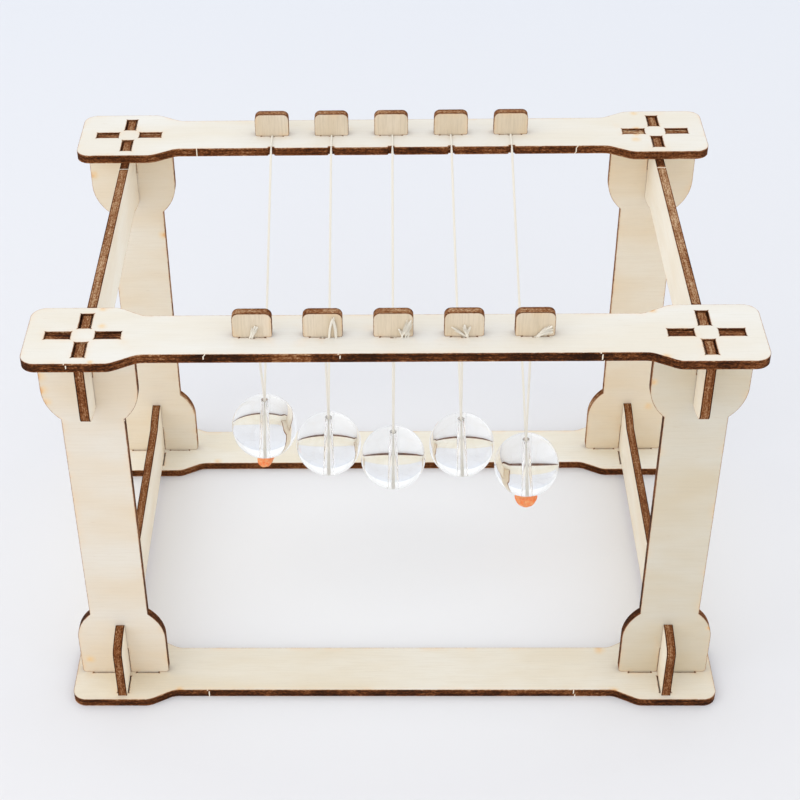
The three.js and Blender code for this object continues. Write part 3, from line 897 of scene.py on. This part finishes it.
def add_frame():
    rail_face = veneer_material("rail_veneer", RAIL_TINT, 0.22)
    low_rail_faces_painted_light_shade = {name: veneer_material(f"{name}_low_rail_veneer", tint, 0.3)
                      for name, tint in LOW_RAIL_TINTS_PAINTED_LIGHT_SHADE.items()}
    post_faces_painted_light_shade = {name: veneer_material(f"{name}_post_veneer", tint, 0.25)
                  for name, tint in POST_TINTS_PAINTED_LIGHT_SHADE.items()}
    beam_face_painted_light = veneer_material("beam_veneer", BEAM_TINT_PAINTED_LIGHT, 0.25)
    peg_face = veneer_material("peg_veneer", PEG_TINT, 0.9)
    rail_edges = {
        "front": charred_material("front_rail_edge", 0.33, 0.16),
        "back": charred_material("back_rail_edge", 0.40, 0.18, 0.6),
    }
    post_edges = {
        "front": charred_material("front_post_edge", 0.32, 0.1),
        "back": charred_material("back_post_edge", 0.60, 0.15),
    }
    brown_edge = charred_material("brown_edge", 0.58, -0.42, 0.45)

    for depth_name, side in (("front", -1), ("back", 1)):
        turned = Matrix.Rotation(math.pi if side > 0 else 0, 4, "Z")
        plate_y = side * RAIL_Y + PLY / 2
        for level_name, z, with_pegs in (("bottom", 0, False), ("top", FRAME_HEIGHT - PLY, True)):
            node = f"{depth_name}_{level_name}_rail"
            face = rail_face if with_pegs else low_rail_faces_painted_light_shade[depth_name]
            add_plate(node, "rail", placed(0, side * RAIL_Y, z, turned), [face, rail_edges[depth_name]],
                      rail_corners(with_pegs), len(node) + 7 * side + z, holes=rail_holes(with_pegs),
                      nicks=RAIL_NICKS.get(node, ()), tones=rail_tones(node), smudges=RAIL_SMUDGES[node],
                      chipped=True)
        for side_name, side_x in (("left", -1), ("right", 1)):
            node = f"{depth_name}_{side_name}_post"
            add_plate(node, "post", placed(side_x * POST_X, plate_y, PLY, upright()),
                      [post_faces_painted_light_shade[f"{depth_name}_{side_name}"], post_edges[depth_name]],
                      post_corners(), 31 + 5 * side + 3 * side_x, nicks=POST_NICKS.get(node, ()),
                      tones=post_tones(), smudges=POST_SMUDGES[node])
        for i, x in enumerate(peg_positions()):
            add_plate(f"{depth_name}_peg_{i + 1}", "peg", placed(x, plate_y, FRAME_HEIGHT, upright()),
                      [peg_face, brown_edge], peg_corners(), 60 + i + 11 * side,
                      grain_angle=math.pi / 2, tones=peg_tones())

    for side_name, side_x in (("left", -1), ("right", 1)):
        x = side_x * POST_X - PLY / 2
        for level_name, z, turn, nicks in (
            ("bottom", PLY, basis((0, 1, 0), (0, 0, 1), (1, 0, 0)), ()),
            ("top", FRAME_HEIGHT - PLY, basis((0, -1, 0), (0, 0, -1), (1, 0, 0)), TOP_BEAM_NICKS[side_name]),
        ):
            add_plate(f"{side_name}_{level_name}_beam", "beam", placed(x, 0, z, turn),
                      [beam_face_painted_light, brown_edge], mirrored(beam_end_corners()), 90 + side_x + 4 * z,
                      nicks=nicks, tones=beam_tones())


# ---- threads ----

def smooth_line(points, step):
    """A centripetal Catmull-Rom line through the points, sampled about every step."""
    first = points[0] * 2 - points[1]
    last = points[-1] * 2 - points[-2]
    knots = [first, *points, last]
    line = []
    for a, b, c, d in zip(knots, knots[1:], knots[2:], knots[3:]):
        pieces = max(1, math.ceil((c - b).length / step))
        ta = 0.0
        tb = ta + math.sqrt((b - a).length) + 1e-9
        tc = tb + math.sqrt((c - b).length) + 1e-9
        td = tc + math.sqrt((d - c).length) + 1e-9
        for piece in range(pieces):
            t = tb + (tc - tb) * piece / pieces
            ab = a.lerp(b, (t - ta) / (tb - ta))
            bc = b.lerp(c, (t - tb) / (tc - tb))
            cd = c.lerp(d, (t - tc) / (td - tc))
            abc = ab.lerp(bc, (t - ta) / (tc - ta))
            bcd = bc.lerp(cd, (t - tb) / (td - tb))
            line.append(abc.lerp(bcd, (t - tb) / (tc - tb)))
    line.append(points[-1].copy())
    return line


def line_frames(line):
    """Along each point of a line: its direction and a side that doesn't twist."""
    frames = []
    side = Vector((1, 0, 0))
    for i, point in enumerate(line):
        ahead = line[min(i + 1, len(line) - 1)]
        behind = line[max(i - 1, 0)]
        direction = (ahead - behind).normalized()
        side = side - direction * side.dot(direction)
        if side.length < 1e-3:
            side = direction.orthogonal()
        side.normalize()
        frames.append((point, direction, side.copy()))
    return frames


def sideways(direction, side, angle):
    """The unit direction at an angle round a line, measured from its side."""
    return side * math.cos(angle) + direction.cross(side) * math.sin(angle)


def around(radius, angle, z):
    return Vector((radius * math.cos(angle), radius * math.sin(angle), z))


class MeshParts:
    """Gathers tubes and other closed forms into one mesh."""

    def __init__(self):
        self.vertices = []
        self.faces = []

    def tube(self, line, radii, sides):
        start = len(self.vertices)
        for (point, direction, side), radius in zip(line_frames(line), radii):
            for k in range(sides):
                turn = sideways(direction, side, math.tau * k / sides)
                self.vertices.append(point + turn * radius)
        rings = len(line)
        for ring in range(rings - 1):
            for k in range(sides):
                a = start + ring * sides + k
                b = start + ring * sides + (k + 1) % sides
                self.faces.append((a, b, b + sides, a + sides))
        self.faces.append(tuple(start + k for k in reversed(range(sides))))
        self.faces.append(tuple(start + (rings - 1) * sides + k for k in range(sides)))

    def twisted(self, points, radius, phase=0.0, squeezed=0.0):
        """A thread of PLIES plies wound round a line, thinner over a squeezed first stretch."""
        line = smooth_line(points, TWIST_PITCH / 9)
        frames = line_frames(line)
        gone = 0.0
        lines = [[] for _ in range(PLIES)]
        sizes = []
        for i, (point, direction, side) in enumerate(frames):
            if i:
                gone += (point - frames[i - 1][0]).length
            sizes.append(radius * min(1, SQUEEZE + gone / squeezed) if squeezed else radius)
            for ply in range(PLIES):
                angle = phase + math.tau * (gone / TWIST_PITCH + ply / PLIES)
                lines[ply].append(point + sideways(direction, side, angle) * sizes[-1] * 0.5)
        for ply in lines:
            self.tube(ply, [size * 0.54 for size in sizes], PLY_SIDES)

    def fibres(self, points, count, spread, width, seed):
        """Loose fibres that start together and fan out along a route."""
        rng = random.Random(seed)
        line = smooth_line(points, 0.25)
        frames = line_frames(line)
        for _ in range(count):
            angle = rng.uniform(0, math.tau)
            reach = rng.uniform(0.3, 1.0)
            share = rng.uniform(0.65, 1.0)
            curl = rng.uniform(-0.8, 0.8)
            kept = max(4, int(len(frames) * share))
            fibre = []
            for i, (point, direction, side) in enumerate(frames[:kept]):
                t = i / (kept - 1)
                out = sideways(direction, side, angle + curl * t)
                fibre.append(point + out * (0.06 + spread * reach * t ** 1.2))
            radii = [width * (1 - 0.5 * i / kept) for i in range(kept)]
            self.tube(fibre, radii, 4)

    def mesh(self, name):
        return smooth_mesh(name, self.vertices, self.faces, 50)


# How each thread's frayed tail lies on the outer face of its peg: route points as (across, up), in
# millimetres from the middle of the peg's foot, the radius of its twisted core, how many loose fibres
# it has and how far they spread.
FRONT_TAILS = {
    1: [([(-0.7, 0), (0.1, 1.9), (1.0, 4.1)], 0.3, 44, 0.75),
        ([(-0.1, 0), (0.6, 1.8), (1.6, 3.9)], 0.3, 40, 0.75)],
    2: [([(1.8, 0), (2.1, 3.0), (2.9, 6.0), (3.5, 3.4), (3.8, 0)], 0.35, 44, 0.5),
        ([(2.5, 4.8), (3.0, 6.0), (3.3, 6.9)], 0.2, 40, 0.7)],
    3: [([(2.3, 0), (3.3, 2.4), (5.0, 5.8)], 0.25, 60, 1.1),
        ([(3.4, 0), (3.7, 1.6), (4.2, 4.6)], 0.25, 50, 1.1),
        ([(2.6, 0), (2.1, 1.6), (1.5, 2.9)], 0.25, 24, 0.5),
        ([(4.1, 0), (4.3, 1.0), (4.1, 2.2)], 0.25, 20, 0.5)],
    4: [([(0.9, 0), (-1.1, 1.5), (-3.6, 3.5)], 0.2, 26, 0.5),
        ([(0.9, 0), (0.3, 2.0), (0.0, 4.2)], 0.3, 40, 0.6),
        ([(1.1, 0), (0.9, 1.8), (1.7, 3.6)], 0.2, 30, 0.55)],
    5: [([(0.3, 0), (2.0, 1.9), (4.6, 3.6)], 0.3, 44, 0.7),
        ([(0.7, 0), (2.4, 1.2), (4.9, 1.7)], 0.3, 40, 0.65),
        ([(1.6, 1.2), (3.0, 2.0), (4.9, 2.6)], 0.2, 34, 0.5)],
}
BACK_TAIL = [([(0, 0), (0.4, 2.0), (0.9, 3.6)], 0.3, 36, 0.6)]
TAIL_OUT = 0.5  # from the peg's face to the middle of a tail


def hinge_x(i):
    low, high = box_mm(f"front_thread_end_{i + 1}")
    return (low.x + high.x) / 2


def thread_end_route(side, x):
    """From the rail's notch to the peg, down the groove beside its tongue, under it and up again."""
    low, high = box_mm("back_thread_end_1")
    start = low.y
    rest = FRAME_HEIGHT + THREAD_RADIUS
    wall = (PLY / 2 + GROOVE_SPAN / 2) / 2
    under = FRAME_HEIGHT - (TONGUE_DEPTH + PLY) / 2
    route = [
        (start, rest), (start + 1.6, rest), (RAIL_Y - 5, rest), (RAIL_Y - wall - 0.4, rest),
        (RAIL_Y - wall, rest - 0.5), (RAIL_Y - wall, under + 0.35), (RAIL_Y - wall + 0.4, under),
        (RAIL_Y, under), (RAIL_Y + wall - 0.4, under), (RAIL_Y + wall, under + 0.35),
        (RAIL_Y + wall, FRAME_HEIGHT - 0.7), (RAIL_Y + wall, FRAME_HEIGHT - 0.1),
    ]
    return [Vector((x, side * across, z)) for across, z in route]


def add_thread_ends(cotton):
    for depth_name, side in (("front", -1), ("back", 1)):
        face = side * (RAIL_Y + PLY / 2 + TAIL_OUT)
        for i, peg_x in enumerate(peg_positions()):
            node = f"{depth_name}_thread_end_{i + 1}"
            parts = MeshParts()
            parts.twisted(thread_end_route(side, hinge_x(i)), THREAD_RADIUS, phase=i)
            tails = FRONT_TAILS[i + 1] if side < 0 else BACK_TAIL
            for k, (route, core, count, spread) in enumerate(tails):
                points = [Vector((peg_x + u, face, FRAME_HEIGHT + v)) for u, v in route]
                if core:
                    parts.twisted(points, core, phase=k)
                parts.fibres(points, count, spread, FIBRE_RADIUS, 100 * i + 7 * k + side)
            add_piece(f"{depth_name}_tail_{i + 1}", parts.mesh(node + "_cotton"), Matrix(), "frame", node,
                      [cotton])


# ---- pendulums ----

def ball_centre(i):
    low, high = box_mm(f"ball_{i + 1}")
    return (low + high) / 2


def pendulum_matrix(i, hinge_z):
    """The pendulum's own frame: its origin on the hinge, -Z towards the ball."""
    hinge = Vector((hinge_x(i), 0, hinge_z))
    down = ball_centre(i) - hinge
    lean = math.atan2(down.x, -down.z)
    return Matrix.Translation(hinge * MM) @ Matrix.Rotation(-lean, 4, "Y"), math.hypot(down.x, down.z)


def revolved(profile, segments):
    """A closed form turned about Z from a list of (radius, z)."""
    vertices, faces = [], []
    rows = len(profile)
    for k in range(segments):
        angle = math.tau * k / segments
        vertices.extend(around(r, angle, z) for r, z in profile)
    for k in range(segments):
        near, far = k * rows, (k + 1) % segments * rows
        for row in range(rows):
            after = (row + 1) % rows
            faces.append((near + row, far + row, far + after, near + after))
    return vertices, faces


def ball_mesh(name):
    """A clear sphere with a drilled hole whose rims are slightly broken."""
    rim = math.asin((HOLE_RADIUS + 0.12) / BALL_RADIUS)
    rings = 72
    angles = [rim + (math.pi - 2 * rim) * ring / rings for ring in range(rings + 1)]
    profile = [(BALL_RADIUS * math.sin(angle), -BALL_RADIUS * math.cos(angle)) for angle in angles]
    hole_top = BALL_RADIUS * math.cos(rim) - 0.12
    bore = [(HOLE_RADIUS, hole_top - 2 * hole_top * step / 16) for step in range(17)]
    vertices, faces = revolved(profile + bore, 128)
    mesh = smooth_mesh(name, vertices, faces, 30)
    rows = len(profile) + len(bore)
    mesh.polygons.foreach_set("material_index", [int(k % rows >= rings) for k in range(len(faces))])
    return mesh


def lumpy_mesh(name, profile, segments, lump, lean, seed):
    """A hand-rolled lump: a revolved profile, pushed about by noise and leaning to one side at its tip."""
    vertices, faces = [], []
    rows = len(profile)
    depth = profile[-1][1]
    for k in range(segments):
        angle = math.tau * k / segments
        for r, z in profile[1:-1]:
            point = around(r, angle, z)
            push = noise.noise(point * 0.55 + Vector((seed, 0, 0))) * lump
            push += noise.noise(point * 1.9 + Vector((0, seed, 0))) * lump * 0.35
            share = z / depth
            point += Vector((point.x, point.y, 0)).normalized() * push * min(1, share * 4 + 0.2)
            point += lean * share ** 1.5
            vertices.append(point)
    inner = rows - 2
    for k in range(segments):
        near, far = k * inner, (k + 1) % segments * inner
        for row in range(inner - 1):
            faces.append((near + row, near + row + 1, far + row + 1, far + row))
    top, tip = len(vertices), len(vertices) + 1
    vertices.append(Vector((0, 0, profile[0][1])))
    vertices.append(Vector((0, 0, depth)) + lean)
    for k in range(segments):
        near, far = k * inner, (k + 1) % segments * inner
        faces.append((top, near, far))
        faces.append((tip, far + inner - 1, near + inner - 1))
    return smooth_mesh(name, vertices, faces)


def tapered_profile():
    return [(0, 0), (1.4, 0), (2.4, -0.05), (2.75, -0.25), (2.85, -0.8), (2.9, -1.6), (2.85, -2.4),
            (2.7, -3.4), (2.35, -4.4), (1.85, -5.2), (1.25, -5.7), (0.6, -5.9), (0, -5.9)]


def round_profile():
    """A little more than the lower half of a ball, flat on top."""
    radius, rings, start = 3.8, 20, 0.7
    flat = radius * math.sin(start)
    below = [start + (math.pi - start) * k / rings for k in range(rings)]
    return (
        [(0, 0), (flat * 0.5, 0), (flat * 0.9, 0)]
        + [(radius * math.sin(angle), radius * (math.cos(angle) - math.cos(start))) for angle in below]
        + [(0, -radius * (1 + math.cos(start)))]
    )


def leg_route(side, drop, hinge_y, knot_z):
    rim = math.sqrt(BALL_RADIUS ** 2 - HOLE_RADIUS ** 2)
    top = Vector((0, side * hinge_y, 0))
    entry = Vector((0, side * STRAND_ASIDE, -drop + rim + 0.5))
    span = (entry - top).length
    stops = [0.3, span * 0.25, span * 0.5, span * 0.75, span - 4, span - 0.7]
    return [top.lerp(entry, stop / span) for stop in stops] + [
        Vector((0, side * STRAND_ASIDE, z))
        for z in (-drop + rim - 0.2, -drop + rim / 2, -drop - rim / 2, -drop - rim + 0.5, knot_z)
    ]


def knot_line(centre, size):
    """An overhand knot's closed trefoil, flattened a little."""
    line = []
    steps = 60
    for step in range(steps + 1):
        t = math.tau * step / steps
        x = math.sin(t) + 2 * math.sin(2 * t)
        y = math.cos(t) - 2 * math.cos(2 * t)
        z = -math.sin(3 * t)
        line.append(centre + Vector((x, y, z * 1.4)) * size / 3)
    return line


def add_pendulums(cotton):
    ball_looks = [acrylic_material(), bore_material()]
    clay = clay_material()
    hinge_y = -box_mm("front_thread_end_1")[1].y + HINGE_GAP
    hinge_z = FRAME_HEIGHT + HINGE_RISE
    for i in range(COUNT):
        body = f"pendulum_{i + 1}"
        matrix, drop = pendulum_matrix(i, hinge_z)
        ball = ball_mesh(f"ball_{i + 1}_acrylic")
        centre = matrix @ Matrix.Translation(Vector((0, 0, -drop)) * MM)
        add_piece(f"ball_{i + 1}_clear", ball, centre, body, f"ball_{i + 1}",
                  ball_looks)

        stopper_node = f"stopper_{i + 1}"
        has_stopper = stopper_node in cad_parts
        knot_radius = HIDDEN_KNOT_RADIUS if has_stopper else KNOT_RADIUS
        knot_z = -drop - BALL_RADIUS - KNOT_DROP - knot_radius
        parts = MeshParts()
        for side in (-1, 1):
            parts.twisted(leg_route(side, drop, hinge_y, knot_z), LEG_RADIUS, i + side, SQUEEZED_LENGTH)
        knot = knot_line(Vector((0, 0, knot_z)), knot_radius * 0.78)
        parts.tube(knot, [THREAD_RADIUS] * len(knot), 8)
        if not has_stopper:
            for k, way in enumerate((-1, 1)):
                end = [Vector((0, 0, knot_z)), Vector((0.3 * way, 0.2, knot_z - 0.5)),
                       Vector((0.6 * way, 0.3, knot_z - 1.2))]
                parts.fibres(end, 10, 0.35, FIBRE_RADIUS, 40 * i + k)
        # the end threads swing far; a thread with a stopper is attached to no body and its placing is baked
        # into its points
        thread = add_piece(f"thread_{i + 1}_cotton", parts.mesh(f"thread_{i + 1}_cotton"), matrix,
                           None if has_stopper else body, f"thread_{i + 1}", [cotton])

        if has_stopper:
            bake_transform(thread)
            tapered = i == 0
            profile = tapered_profile() if tapered else round_profile()
            lean = Vector((-0.9, 0, 0)) if tapered else Vector((0, 0, 0))
            lump = lumpy_mesh(f"{stopper_node}_lump", profile, 48, 0.5 if tapered else 0.3, lean, i + 2)
            aside = 0.6 if tapered else -0.5
            place = matrix @ Matrix.Translation(Vector((aside, 0, -drop - BALL_RADIUS - 0.15)) * MM)
            add_piece(f"{stopper_node}_clay", lump, place, body, stopper_node, [clay])


# ---- studio ----

def add_studio():
    mesh = bpy.data.meshes.new("studio_floor")
    rings, radius = 64, 6.0
    rim = [around(radius, math.tau * k / rings, 0) for k in range(rings)]
    mesh.from_pydata(rim, [], [tuple(range(rings))])
    floor = new_object("studio_floor", mesh)
    mesh.materials.append(floor_material())

    world = bpy.data.worlds.new("studio")
    bpy.context.scene.world = world
    world.use_nodes = True
    background = world.node_tree.nodes["Background"]
    background.inputs["Color"].default_value = (0.955, 0.972, 1.0, 1)
    background.inputs["Strength"].default_value = 1.1

    add_softbox("key", (-0.85, -0.4, 0.8), 1.0, 1.6, (1.0, 0.97, 0.93))
    add_softbox("low_front", (-0.35, -1.2, 0.35), 0.8, 1.3, (1.0, 0.97, 0.94))
    bpy.context.scene.view_settings.view_transform = "Standard"


def add_softbox(name, place, size, power, colour):
    data = bpy.data.lights.new(name, "AREA")
    data.shape = "DISK"
    data.size = size
    data.energy = power
    data.color = colour
    light = new_object(name, data)
    light.location = place
    light.rotation_mode = "QUATERNION"
    light.rotation_quaternion = (-Vector(place)).to_track_quat("-Z", "Y")


add_frame()
cotton_yarn = cotton_material()
add_thread_ends(cotton_yarn)
add_pendulums(cotton_yarn)
add_studio()
